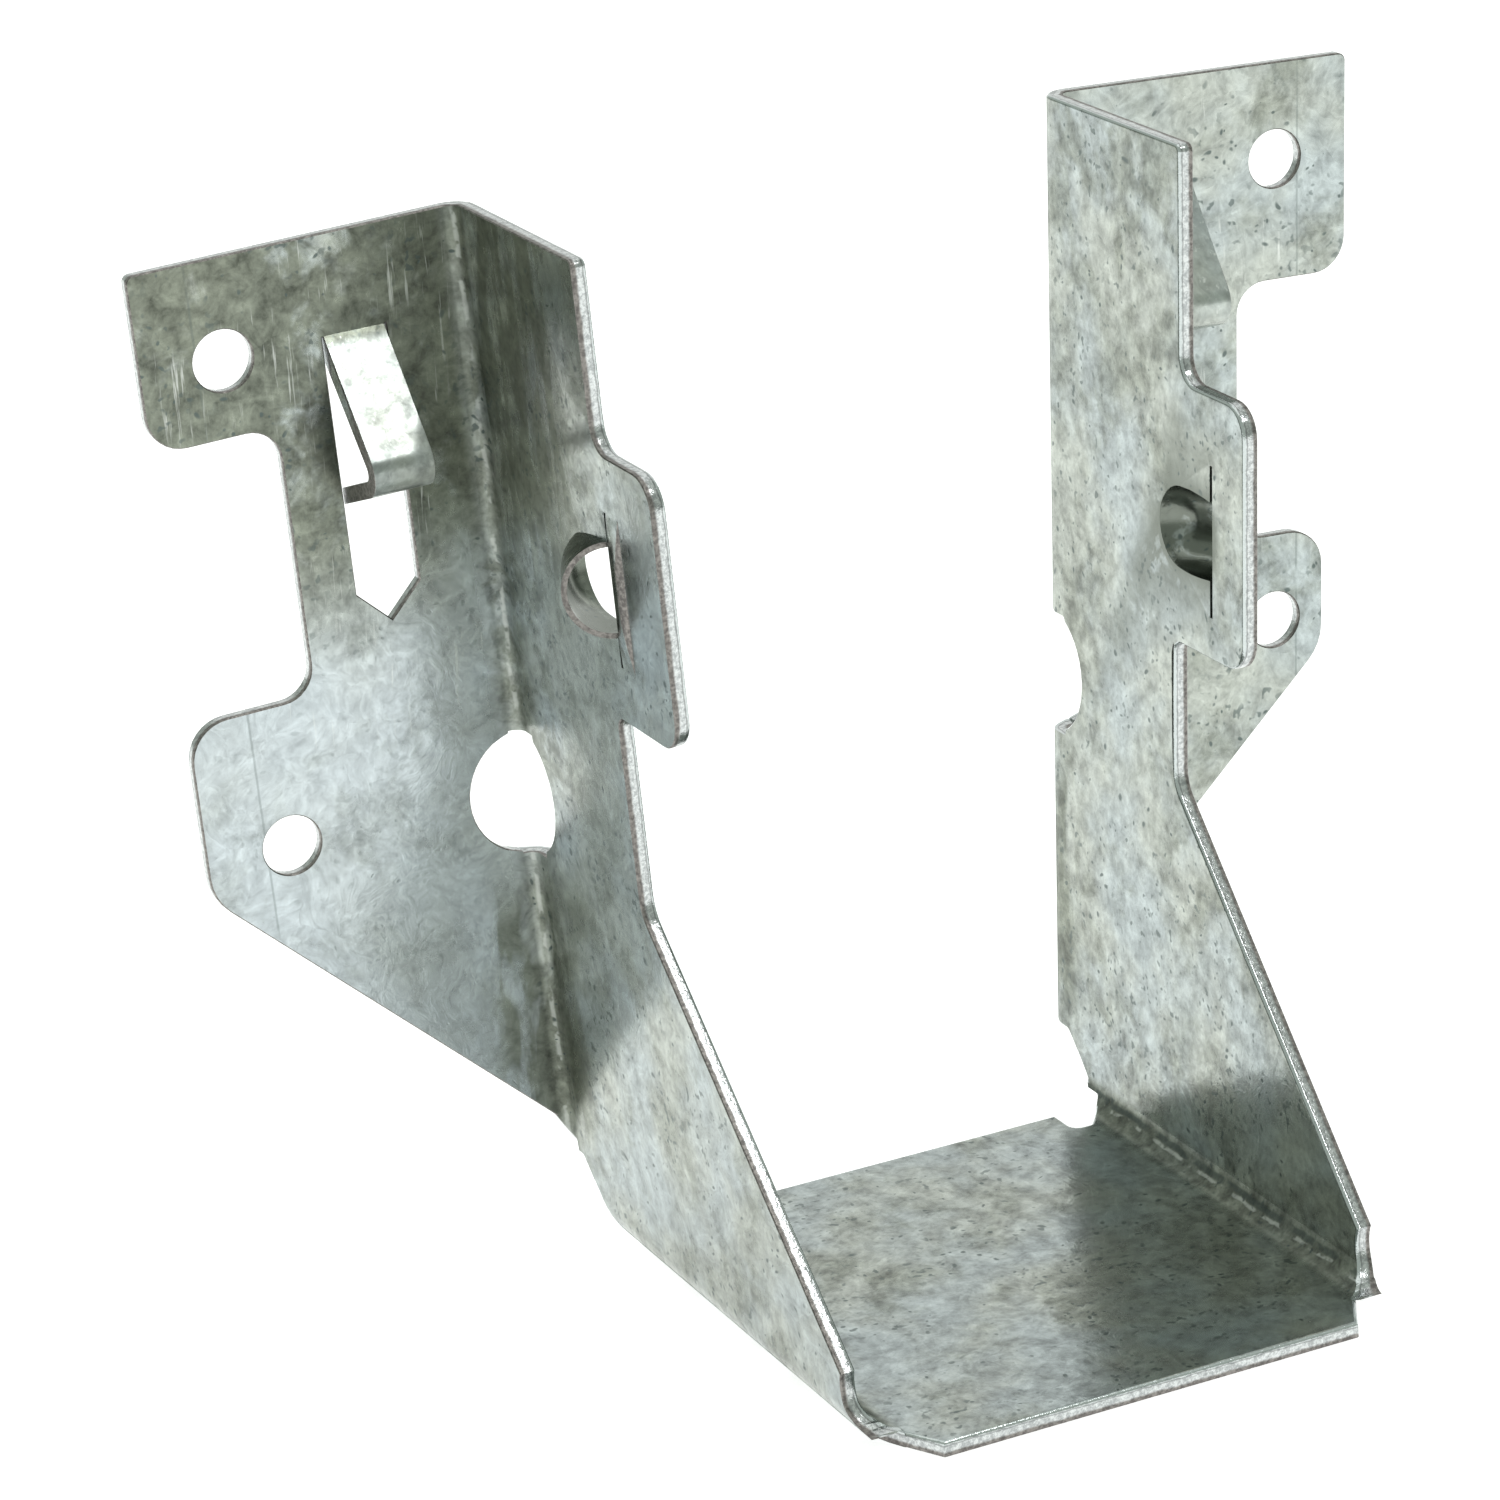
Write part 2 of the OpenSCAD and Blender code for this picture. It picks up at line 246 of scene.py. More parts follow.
# %% Tell the domes apart
HAIR = 0.02 * MM                                           # a distance that counts as touching
DOME_Y = {-1: HEADER - 21.7 * MM, 1: HEADER - 25.2 * MM}   # mouth of the left and the right dome
DOME_Z = {-1: 56.0 * MM, 1: 51.2 * MM}
DOME_MIDDLE, DOME_REACH = 3.5 * MM, 4.6 * MM               # centre behind the mouth, half length
DOME_TILT, DOME_STRAIGHT = math.radians(24), 4.45 * MM


def near_dome(p, reach=DOME_REACH):
    side = -1 if p.x < 0 else 1
    return (abs(p.y - DOME_Y[side] - DOME_MIDDLE) < reach
            and abs(upright(p).z - DOME_Z[side]) < reach)


def by_dome_axis(p):
    """How far along a dome's slanting axis a point is, and how far from it."""
    side = -1 if p.x < 0 else 1
    q = upright(p)
    off = Vector((q.x - SHEET, p.y - DOME_Y[side], q.z - DOME_Z[side]))
    axis = Vector((-math.sin(DOME_TILT), math.cos(DOME_TILT), 0))
    along = off.dot(axis)
    return along, (off - axis * min(DOME_STRAIGHT, max(0.0, along))).length


bm = bmesh.from_edit_mesh(sheet.data)
print("points by the domes:", sum(near_dome(v.co) for v in bm.verts))

# %% Tell the prongs and the tight corners apart
PRONG_X, PRONG_HALF = 9.9 * MM, 2.3 * MM
PRONG_FOOT, PRONG_HINGE = 57 * MM, 73 * MM
HOLE_Z, HOLE_HALF = 34.65 * MM, 4.95 * MM                  # the hole in the flange's bend


def on_prong(p):
    q = upright(p)
    if abs(q.x - PRONG_X) > PRONG_HALF + HAIR or not PRONG_FOOT < q.z < PRONG_HINGE:
        return False
    return q.y < -SHEET - HAIR or q.y > HAIR or abs(abs(q.x - PRONG_X) - PRONG_HALF) < HAIR


def at_corner(p):
    """The ends of the bends, where the rim turns too tightly to be rounded."""
    x, q = abs(p.x), upright(p)
    seat_front = (abs(x - 18.7 * MM) < 1.2 * MM and abs(p.y + 17.9 * MM) < 1.5 * MM
                  and p.z < 1.7 * MM)
    seat_back = (abs(x - 20.2 * MM) < 1.2 * MM and abs(p.y - 22.0 * MM) < 1.2 * MM
                 and p.z < 3.0 * MM)
    bend_hole = (q.x < 3.4 * MM and q.y > -3 * MM
                 and abs(abs(p.z - HOLE_Z) - HOLE_HALF) < 0.55 * MM)
    return seat_front or seat_back or bend_hole


print("points on the prongs:", sum(on_prong(v.co) for v in bm.verts),
      "and in tight corners:", sum(at_corner(v.co) for v in bm.verts))


# %% Tell cuts from faces
def is_cut(face):
    """Whether a face goes through the sheet, as the punch left it."""
    middle = face.calc_center_median()
    if on_prong(middle):
        side = math.copysign(1, middle.x)
        across = face.normal.x * side * math.cos(LEAN) - face.normal.z * math.sin(LEAN)
        return abs(across) > 0.5
    if near_dome(middle):
        return face.normal.y < -0.8 and abs(by_dome_axis(middle)[0]) < 0.2 * MM
    outward = in_sheet(middle)[1]
    return abs(face.normal.dot(outward)) < 0.5


def middle_of(edge):
    return (edge.verts[0].co + edge.verts[1].co) / 2


def is_rim(edge, outer):
    """Whether an edge parts a cut from the outer (or the inner) face of the sheet."""
    middle = middle_of(edge)
    return (len(edge.link_faces) == 2
            and is_cut(edge.link_faces[0]) != is_cut(edge.link_faces[1])
            and edge.calc_face_angle(0) >= math.radians(35)
            and not near_dome(middle, 6.2 * MM) and not on_prong(middle) and not at_corner(middle)
            and (in_sheet(middle)[0] > 0.5) == outer)


print("cut faces:", sum(is_cut(f) for f in bm.faces), "of", len(bm.faces))

# %% Roll the inner rims over and ease the outer ones
ROLL_OVER, BURR = 0.28 * MM, 0.08 * MM

print("inner rims:", select_only("EDGE", lambda e: is_rim(e, outer=False)))
bpy.ops.mesh.bevel(offset=ROLL_OVER, segments=3, profile=0.5, affect="EDGES",
                   clamp_overlap=False, loop_slide=True)
print("outer rims:", select_only("EDGE", lambda e: is_rim(e, outer=True)))
bpy.ops.mesh.bevel(offset=BURR, segments=1, affect="EDGES", clamp_overlap=False)

# %% [markdown]
# ## Prongs and dome mouths
# Each prong is a strip that was pressed forward over a round tool, so its long edges are softer
# than a plain cut. Each dome was stretched out of the side, and the mouth it leaves inside the
# channel has no sharp line at all. Both get a wider bevel. Here the bevel may clamp itself, because
# the edges round a dome are short and would otherwise fold over each other.


# %% Ease the long edges of the prongs
def is_prong_edge(edge):
    q = upright(middle_of(edge))
    return (len(edge.link_faces) == 2 and edge.calc_face_angle(0) > math.radians(60)
            and abs(abs(q.x - PRONG_X) - PRONG_HALF) < HAIR
            and 58 * MM < q.z < 71.5 * MM and q.y < -SHEET - 0.1 * MM)


print("prong edges:", select_only("EDGE", is_prong_edge))
bpy.ops.mesh.bevel(offset=0.30 * MM, segments=3, affect="EDGES", clamp_overlap=True)


# %% Round the mouth that each dome leaves inside the channel
def is_dome_rim(edge):
    middle = middle_of(edge)
    mouth = DOME_Y[-1 if middle.x < 0 else 1]
    return (all(abs(upright(v.co).x) < HAIR for v in edge.verts)
            and near_dome(middle, 6.5 * MM) and edge.calc_face_angle(0) > math.radians(12)
            and min(v.co.y for v in edge.verts) > mouth + 0.9 * MM)


print("dome rims:", select_only("EDGE", is_dome_rim))
bpy.ops.mesh.bevel(offset=0.55 * MM, segments=4, affect="EDGES", clamp_overlap=True)

# %% [markdown]
# ## Two finishes on one sheet
# The faces carry the zinc that was on the coil. The cuts were made later, so they show the torn
# metal. A mask in one material could part them, but two material slots are plainer: each face of
# the mesh gets one. Each vertex also keeps its depth through the sheet in an attribute, which the
# cut edge reads as its bands, and a second attribute marks the hollows of the domes.

# %% Slots for zinc and cuts
bm = bmesh.from_edit_mesh(sheet.data)
for f in bm.faces:
    middle = f.calc_center_median()
    slanted = abs(f.normal.dot(in_sheet(middle)[1])) < 0.93
    rounded_rim = slanted and not near_dome(middle) and not on_prong(middle)
    f.material_index = 1 if rounded_rim or is_cut(f) else 0
bmesh.update_edit_mesh(sheet.data)
bpy.ops.object.mode_set(mode="OBJECT")
print("cut faces:", sum(f.material_index for f in sheet.data.polygons), "of",
      len(sheet.data.polygons))


# %% Depth and hollow as attributes
def in_hollow(p):
    return near_dome(p, 6 * MM) and by_dome_axis(p)[1] < 3.35 * MM and upright(p).x > -0.05 * MM


through = sheet.data.attributes.new("depth", "FLOAT", "POINT")
hollow = sheet.data.attributes.new("hollow", "FLOAT", "POINT")
for v in sheet.data.vertices:
    through.data[v.index].value = min(1.0, max(0.0, in_sheet(v.co)[0]))
    hollow.data[v.index].value = float(in_hollow(v.co))
print("hollow points:", sum(round(h.value) for h in hollow.data))

# %% [markdown]
# ## Smooth bends and flat faces
# Flat shading shows the facets of every bend, and plain smooth shading makes the flats swell like
# pillows. Shading smooth below an angle keeps the burrs crisp. A Weighted Normal modifier then lets
# each large flat face rule the normals at its border, so that only the bevels look round.

# %% Smooth shading, with the flats kept flat
bpy.ops.object.shade_smooth_by_angle(angle=math.radians(32))
flat = sheet.modifiers.new("weigh_normals", "WEIGHTED_NORMAL")
flat.keep_sharp = True
flat.weight = 100
bpy.ops.object.modifier_apply(modifier=flat.name)
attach(sheet, "root")
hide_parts("joist_hanger")
print("the sheet rides on the root, with", len(sheet.data.polygons), "faces")

# %% [markdown]
# ## How the finishes are built
# Nodes can be laid by hand in the shader editor. In code, a few small helpers do the same, and then
# a finish reads as a list of masks. A mask is a value that is 0 where an effect is absent and 1
# where it is full. All helpers lay their nodes in `tree`, which each cell below sets to the tree
# that it works on. The scale of a noise counts its features per metre: 260 makes blotches about
# 4 mm wide.


# %% Helpers that lay nodes
def place(kind, inputs=None, **settings):
    """Adds a node to the tree in hand, sets its properties and fills or links its inputs."""
    node = tree.nodes.new(kind)
    for name, value in settings.items():
        setattr(node, name, value)
    for key, value in (inputs or {}).items():
        if isinstance(value, bpy.types.NodeSocket):
            tree.links.new(value, node.inputs[key])
        else:
            node.inputs[key].default_value = value
    return node


def calc(operation, a, b=0.0, c=0.0):
    return place("ShaderNodeMath", {0: a, 1: b, 2: c}, operation=operation).outputs[0]


def plus(a, b):
    return calc("ADD", a, b)


def minus(a, b):
    return calc("SUBTRACT", a, b)


def times(first, *others):
    for other in others:
        first = calc("MULTIPLY", first, other)
    return first


def most(first, *others):
    """The strongest of several masks."""
    for other in others:
        first = calc("MAXIMUM", first, other)
    return first


def flip(mask):
    return minus(1.0, mask)


print("sums and masks ready")


# %% Helpers for gates, mixes and noise
def gate(value, low, high):
    """0 below low, 1 above high, smooth between."""
    return place("ShaderNodeMapRange", {"Value": value, "From Min": low, "From Max": high},
                 interpolation_type="SMOOTHSTEP").outputs["Result"]


def band(value, low, high, soft):
    """1 between low and high, fading over soft at both ends."""
    return times(gate(value, low - soft, low), flip(gate(value, high, high + soft)))


def line(value, core, fade):
    """1 where a signed distance is within core of zero, 0 beyond fade."""
    return flip(gate(calc("ABSOLUTE", value), core, fade))


def mix(share, a, b, blend="MIX"):
    return place("ShaderNodeMix", {0: share, 6: a, 7: b},
                 data_type="RGBA", blend_type=blend).outputs[2]


def noise(at, scale, detail=2.0, rough=0.5, distort=0.0, stretch=None):
    if stretch:
        at = place("ShaderNodeMapping", {"Vector": at, "Scale": stretch}).outputs[0]
    return place("ShaderNodeTexNoise", {"Vector": at, "Scale": scale, "Detail": detail,
                                        "Roughness": rough, "Distortion": distort}).outputs["Fac"]


def attribute(name):
    return place("ShaderNodeAttribute", attribute_name=name).outputs["Fac"]


def new_group(name, inputs, outputs):
    """An empty node group with its sockets declared."""
    group = bpy.data.node_groups.new(name, "ShaderNodeTree")
    for socket, kind in inputs.items():
        group.interface.new_socket(socket, in_out="INPUT", socket_type=kind)
    for socket in outputs:
        group.interface.new_socket(socket, in_out="OUTPUT", socket_type="NodeSocketFloat")
    return group


def put_out(**values):
    """Links values to the tree's output sockets, by name."""
    end = place("NodeGroupOutput")
    for name, value in values.items():
        tree.links.new(value, end.inputs[name])


print("gates, mixes and noise ready")

# %% [markdown]
# ## A group that unfolds the sheet
# Stains and rub marks follow the folds, so the material needs the same places that the functions
# above use. A UV map could carry them, but this sheet is simple enough to unfold with sums. The
# group tells the left half from the right, how far out from the side a point is, how deep from the
# header plane, how high up, and how far from the middle of the flange's bend (the seam) and of the
# seat's bend (the hem).

# %% Unfold group
unfold = new_group("unfold", {"At": "NodeSocketVector"},
                   ("Left", "Out", "Deep", "Up", "Seam", "Hem"))
tree = unfold
axes = place("ShaderNodeSeparateXYZ", {0: place("NodeGroupInput").outputs["At"]}).outputs
wide = calc("ABSOLUTE", axes["X"])
arm_x, arm_z = minus(wide, SEAT_HALF), minus(axes["Z"], BEND_Z)
outward = minus(minus(times(arm_x, math.cos(LEAN)), times(arm_z, math.sin(LEAN))), SEAT_BEND)
deep = minus(axes["Y"], HEADER)
put_out(Left=calc("LESS_THAN", axes["X"], 0.0),
        Out=outward,
        Deep=deep,
        Up=plus(plus(times(arm_x, math.sin(LEAN)), times(arm_z, math.cos(LEAN))), BEND_Z),
        Seam=plus(outward, deep),
        Hem=minus(plus(wide, axes["Z"]), SEAT_HALF + SEAT_BEND + SHEET))
print("unfold group:", len(tree.nodes), "nodes")

# %% [markdown]
# ## A group for hot-dip zinc
# Zinc freezes on the sheet in flat crystals, each with feathers that run its own way. Then rollers,
# fingers and damp mark it with a mottle, broad clouds and small dark specks. Voronoi cells give the
# crystals, and each cell's random colour turns the noise inside it, which makes the feathers. The
# faces and the cuts both use this group, with their own amounts of feathers and specks.

# %% Crystals and feathers
WARP, TURN = 0.0035, 6.283      # how far, in metres, the cells are bent; a full turn in radians

zinc_surface = new_group("zinc_surface",
                         {"At": "NodeSocketVector", "Feathers": "NodeSocketFloat",
                          "Specks": "NodeSocketFloat"},
                         ("Mottle", "Feather", "Broad", "Speck", "Height"))
tree = zinc_surface
given = place("NodeGroupInput").outputs
at = given["At"]
warp = place("ShaderNodeTexNoise", {"Vector": at, "Scale": 240.0, "Detail": 2.0}).outputs["Color"]
shift = place("ShaderNodeVectorMath", {0: warp, "Scale": WARP}, operation="SCALE").outputs[0]
bent = place("ShaderNodeVectorMath", {0: at, 1: shift}, operation="ADD").outputs[0]
crystal = place("ShaderNodeTexVoronoi", {"Vector": bent, "Scale": 230.0, "Randomness": 1.0},
                feature="F1").outputs["Color"]
turn = place("ShaderNodeVectorMath", {0: crystal, "Scale": TURN}, operation="SCALE").outputs[0]
own_way = place("ShaderNodeVectorRotate", {"Vector": bent, "Rotation": turn},
                rotation_type="EULER_XYZ").outputs[0]
feather = noise(own_way, 1.0, 2.0, 0.55, 0.6, (420.0, 1500.0, 1500.0))
print("feathers use", len(tree.nodes), "nodes")

# %% Mottle, clouds and specks
mottle = noise(at, 620.0, 4.0, 0.68, 0.2)
broad = noise(at, 105.0, 5.0, 0.60, 0.4)
dots = place("ShaderNodeTexVoronoi", {"Vector": bent, "Scale": 1250.0}, feature="F1").outputs
picks = place("ShaderNodeSeparateColor", {"Color": dots["Color"]}).outputs
dot_size = calc("MULTIPLY_ADD", picks["Red"], 0.20, 0.11)
dot = flip(gate(calc("DIVIDE", dots["Distance"], dot_size), 0.55, 1.25))
cluster = noise(at, 210.0, 2.0, 0.6)
speck = times(dot, gate(picks["Green"], 0.52, 0.62), gate(cluster, 0.38, 0.54))
relief = plus(times(mottle, 0.7), times(feather, given["Feathers"], 0.8))
put_out(Mottle=mottle,
        Feather=times(minus(feather, 0.5), given["Feathers"]),
        Broad=broad,
        Speck=times(speck, given["Specks"]),
        Height=minus(relief, times(speck, 0.35)))
print("zinc group:", len(tree.nodes), "nodes")

# %% [markdown]
# ## Zinc on the faces
# The material starts from the two groups, read at the object's own coordinates, so that the
# pattern sits in the sheet however it is turned. Three noises of its own serve every mark below,
# the painted shade of the domes included: blotches, smears that run up and down, and patches that
# mix both sizes.

# %% Start the zinc
zinc = bpy.data.materials.new("galvanised_zinc")
zinc.use_nodes = True
tree = zinc.node_tree
spot = place("ShaderNodeTexCoord").outputs["Object"]
where = place("ShaderNodeGroup", {"At": spot}, node_tree=unfold).outputs
surface = place("ShaderNodeGroup", {"At": spot, "Feathers": 1.0, "Specks": 0.9},
                node_tree=zinc_surface).outputs
blotch_noise = noise(spot, 260.0, 4.0, 0.62, 0.5)
smear = noise(spot, 1.0, 3.0, 0.6, 0.3, (420.0, 420.0, 110.0))
patch = plus(times(surface["Broad"], 0.55), times(blotch_noise, 0.45))
print("zinc starts with", len(tree.nodes), "nodes")

# %% [markdown]
# ## Stains and painted dark reflection
# Wet storage and handling turn zinc a dull olive grey. On the left half's upper lug and beside its
# bend, where blanks lay on each other, the same colour is also painted dark reflection: those faces
# mirror the darker parts of the room, and the colour is made darker there to stand in for it. The
# inner face along the seat's bends is made darker too, and the lower lug is left paler. Each dark
# patch is a place, cut out of the unfolded sheet with bands and gates, times a noise that makes its
# border ragged.

# %% Parts of the sheet
lug = band(where["Out"], 3.0 * MM, 60 * MM, 1.5 * MM)
upper = gate(where["Up"], 44 * MM, 60 * MM)
lower_lug = times(lug, where["Left"], flip(upper))
right_half = flip(where["Left"])
in_front = flip(gate(where["Deep"], -1.9 * MM, -1.3 * MM))
prong = times(in_front, band(where["Out"], 7.4 * MM, 12.4 * MM, 0.2 * MM))
inner_face = flip(gate(attribute("depth"), 0.3, 0.7))
print("parts use", len(tree.nodes), "nodes so far")

# %% Where handling has stained it, and where dark reflection is painted
# partly painted dark reflection: the upper lug is made darker where it mirrors the dim room; its
# olive tint is real stain
lug_stain_and_reflection = times(lug, upper, where["Left"], gate(patch, 0.36, 0.50))
# partly painted dark reflection: the side beside the flange's bend is made darker where it mirrors
# the flange; the rest is stain
beside_seam = times(band(where["Seam"], -13 * MM, -0.6 * MM, 4.0 * MM), where["Left"],
                    gate(where["Up"], 40 * MM, 64 * MM), gate(smear, 0.36, 0.56))
foot = times(band(where["Seam"], -3.0 * MM, 3.5 * MM, 4.0 * MM),
             flip(gate(where["Up"], 24 * MM, 31 * MM)), gate(smear, 0.34, 0.56),
             gate(where["Up"], 4 * MM, 10 * MM))
above_hole = times(band(where["Seam"], -6.0 * MM, 1.0 * MM, 3.0 * MM), where["Left"],
                   band(where["Up"], 39 * MM, 52 * MM, 6 * MM), gate(blotch_noise, 0.40, 0.58))
right_top = times(right_half, flip(gate(where["Out"], 0.3 * MM, 0.8 * MM)),
                  gate(where["Up"], 52 * MM, 70 * MM), gate(patch, 0.44, 0.56))
# darker along the inner face of the seat's bends
crease = times(line(where["Hem"], 1.2 * MM, 2.4 * MM), inner_face)
anywhere = gate(patch, 0.47, 0.62)
# real stains together with the painted dark reflection made above
stain_and_dark_reflection = most(times(lug_stain_and_reflection, 0.95), times(beside_seam, 0.95), times(foot, 0.85),
             times(above_hole, 0.7), times(anywhere, 0.55), times(right_top, 0.6),
             times(crease, 0.75))
stain_and_dark_reflection = times(stain_and_dark_reflection, flip(times(prong, 0.9)))
print("stain uses", len(tree.nodes), "nodes so far")

# %% [markdown]
# ## Painted shade in the domes
# The hollow behind each dome is darkened with painted shade, where its walls keep the light out,
# and a ring of painted shade lies round its mouth on the inner face. The hollow is marked by its
# attribute. The ring is an oval round the mouth, longer front to back than it is high, with a
# ragged border.

# %% Painted shade in and round the hollow of each dome
MOUTH_SHADE_BACK, MOUTH_SHADE_RAGGED = 3.1 * MM, 3.0 * MM
MOUTH_SHADE_STRETCH = 0.66

mouth_shades = []
for side, half in ((-1, where["Left"]), (1, right_half)):
    dy = minus(where["Deep"], DOME_Y[side] - HEADER + MOUTH_SHADE_BACK)
    dz = minus(where["Up"], DOME_Z[side])
    away = calc("SQRT", plus(times(dy, dy, MOUTH_SHADE_STRETCH), times(dz, dz)))
    away = plus(away, times(minus(blotch_noise, 0.5), MOUTH_SHADE_RAGGED))
    mouth_shades.append(times(flip(gate(away, 3.0 * MM, 4.3 * MM)), half))
mouth_shade = times(plus(*mouth_shades), flip(gate(where["Out"], 0.2 * MM, 0.5 * MM)))
dome_shade_strength = minus(0.95, times(gate(blotch_noise, 0.52, 0.60), 0.7))
dome_shade = most(times(mouth_shade, 0.9), times(attribute("hollow"), dome_shade_strength))
print("with soot,", len(tree.nodes), "nodes so far")

# %% [markdown]
# ## Scratches, bend lines and specks
# Bending stretches the zinc until it cracks: a bright broken line runs up each seam and along each
# hem, with a dark one beside the hem. Bundles rubbing together scratch the lugs up and down. A
# faint scribed line crosses each lug. Noise wobbles the lines and gates break them up, because an
# unbroken line looks drawn on.

# %% Bright lines
streaks = noise(spot, 1.0, 3.0, 0.7, 0.15, (2300.0, 2300.0, 150.0))
rubbed = noise(spot, 130.0, 2.0, 0.5)
scratch = times(gate(streaks, 0.58, 0.70), gate(rubbed, 0.50, 0.62), lug,
                gate(where["Up"], 30 * MM, 55 * MM))
wobble = times(minus(noise(spot, 350.0, 3.0, 0.6), 0.5), 1.0 * MM)
broken = noise(spot, 420.0, 3.0, 0.7)
seam_line = times(line(plus(where["Seam"], wobble), 0.10 * MM, 0.40 * MM),
                  gate(broken, 0.47, 0.55))
hem_line = times(line(plus(where["Hem"], wobble), 0.08 * MM, 0.30 * MM),
                 gate(broken, 0.45, 0.55))
bright = most(times(scratch, 0.6), times(seam_line, 0.45), times(hem_line, 0.6))
print("with bright lines,", len(tree.nodes), "nodes so far")

# %% Dark lines and specks
SCRIBE_FROM, SCRIBE_TO = 21.72 * MM, 21.80 * MM

hem_crack = times(band(plus(where["Hem"], wobble), 0.45 * MM, 0.85 * MM, 0.25 * MM),
                  gate(broken, 0.36, 0.48))
scribe = times(band(plus(where["Out"], times(wobble, 0.12)), SCRIBE_FROM, SCRIBE_TO, 0.09 * MM),
               gate(noise(spot, 300.0, 2.0), 0.36, 0.50))
pepper = times(gate(noise(spot, 1500.0, 1.0, 0.5), 0.61, 0.70),
               gate(noise(spot, 170.0, 2.0, 0.6), 0.46, 0.62), 0.75)
pepper = times(most(pepper, surface["Speck"]), flip(most(prong, times(lower_lug, 0.75))))
dark = most(pepper, times(scribe, 0.35), times(hem_crack, 0.6))
print("with dark marks,", len(tree.nodes), "nodes so far")

# %% [markdown]
# ## Colour and gloss
# Zinc is a metal, so its colour is the colour of its reflections: a cool grey that drifts to a warm
# one, paler on the lower lug, which is partly a bluish tint and partly painted reflection of a
# brighter surround. Stain and painted dark reflection come over it, then the grain of mottle and
# feathers darkens and lightens both, and the lines, the painted shade of the domes and the specks
# come last. Stained and stretched zinc is rougher, and the long gentle bumps of rolled sheet make
# its reflections swim.

# %% Colour of the zinc
COOL_ZINC, WARM_ZINC = (0.400, 0.442, 0.445, 1), (0.415, 0.438, 0.402, 1)
# paler, bluish zinc for the lower lug: partly its own tint, partly painted reflection of a brighter
# surround
PALE_ZINC_AND_SHEEN = (0.500, 0.545, 0.575, 1)
# The olive colour is real stain, and painted dark reflection where it lies on the upper lug and
# beside the bend; the colour after it is painted shade for the hollows of the domes.
OLIVE_STAIN_AND_REFLECTION, PAINTED_DOME_SHADE = (0.190, 0.205, 0.165, 1), (0.165, 0.180, 0.155, 1)
BARE_SCRATCH, DARK_SPECK = (0.72, 0.74, 0.71, 1), (0.10, 0.125, 0.12, 1)

clean = mix(gate(noise(spot, 95.0, 3.0, 0.55), 0.36, 0.62), COOL_ZINC, WARM_ZINC)
clean = mix(times(lower_lug, 0.75), clean, PALE_ZINC_AND_SHEEN)
# less stain on the lower lug, which keeps it light as part of the same painted reflection
wiped_and_sheen = flip(times(lower_lug, flip(foot), 0.5))
colour = mix(times(stain_and_dark_reflection, wiped_and_sheen), clean, OLIVE_STAIN_AND_REFLECTION)
grain = place("ShaderNodeMapRange", {"Value": surface["Mottle"], "From Min": 0.30,
                                     "From Max": 0.70, "To Min": -0.40, "To Max": 0.30})
contrast = minus(plus(calc("MULTIPLY_ADD", stain_and_dark_reflection, 0.55, 0.62), times(inner_face, 0.35)),
                 times(lower_lug, 0.34))
feathered = minus(0.75, times(inner_face, gate(where["Up"], 6 * MM, 12 * MM), 0.5))
grain = plus(calc("MULTIPLY_ADD", grain.outputs["Result"], contrast, 1.0),
             times(surface["Feather"], feathered))
colour = mix(1.0, colour, grain, "MULTIPLY")
colour = mix(bright, colour, BARE_SCRATCH)
# painted shade in and round the hollows of the domes
colour = mix(dome_shade, colour, PAINTED_DOME_SHADE)
colour = mix(dark, colour, DARK_SPECK)
bsdf = tree.nodes["Principled BSDF"]
tree.links.new(colour, bsdf.inputs["Base Color"])
bsdf.inputs["Metallic"].default_value = 1.0
print("with colour,", len(tree.nodes), "nodes so far")

# %% Gloss and bumps of the zinc
gloss = place("ShaderNodeMapRange", {"Value": surface["Mottle"], "From Min": 0.3, "From Max": 0.7,
                                     "To Min": 0.27, "To Max": 0.17}).outputs["Result"]
stretched = most(times(line(where["Seam"], 0.8 * MM, 2.2 * MM), 0.34),
                 times(line(where["Hem"], 0.7 * MM, 1.6 * MM), 0.38))
rough = plus(plus(gloss, times(stain_and_dark_reflection, 0.10)), plus(stretched, times(prong, 0.10)))
tree.links.new(rough, bsdf.inputs["Roughness"])
rolling = noise(spot, 70.0, 1.0, 0.4)
dents = times(noise(spot, 200.0, 1.0, 0.4), 3.0)
wave = place("ShaderNodeMix", {"Factor": prong, "A": rolling, "B": dents}).outputs["Result"]
slow = place("ShaderNodeBump", {"Strength": 0.25, "Distance": 0.12 * MM, "Height": wave})
fine = place("ShaderNodeBump", {"Strength": 0.45, "Distance": 0.03 * MM,
                                "Height": surface["Height"], "Normal": slow.outputs["Normal"]})
tree.links.new(fine.outputs["Normal"], bsdf.inputs["Normal"])
sheet.data.materials[0] = zinc
print("zinc has", len(tree.nodes), "nodes, on",
      sum(f.material_index == 0 for f in sheet.data.polygons), "faces")

# %% [markdown]
# ## The cut edge
# Through the thickness a sheared edge has bands. Next to the face that rolled over, the punch
# rubs the metal bright. Then the sheet tears, and the rest is a darker, rougher break. The depth
# attribute places the bands, and fine noise across the sheet makes them ragged.

# %% Bands of the sheared edge
edge = bpy.data.materials.new("sheared_edge")
edge.use_nodes = True
tree = edge.node_tree
spot = place("ShaderNodeTexCoord").outputs["Object"]
surface = place("ShaderNodeGroup", {"At": spot, "Feathers": 0.2, "Specks": 0.6},
                node_tree=zinc_surface).outputs
ragged = times(minus(noise(spot, 900.0, 3.0, 0.7), 0.5), 0.22)
level = plus(attribute("depth"), ragged)
rolled = flip(gate(level, 0.10, 0.26))
torn = gate(level, 0.60, 0.78)
lip = band(level, 0.235, 0.275, 0.05)
grit = noise(spot, 3200.0, 2.0, 0.7)
print("bands use", len(tree.nodes), "nodes")

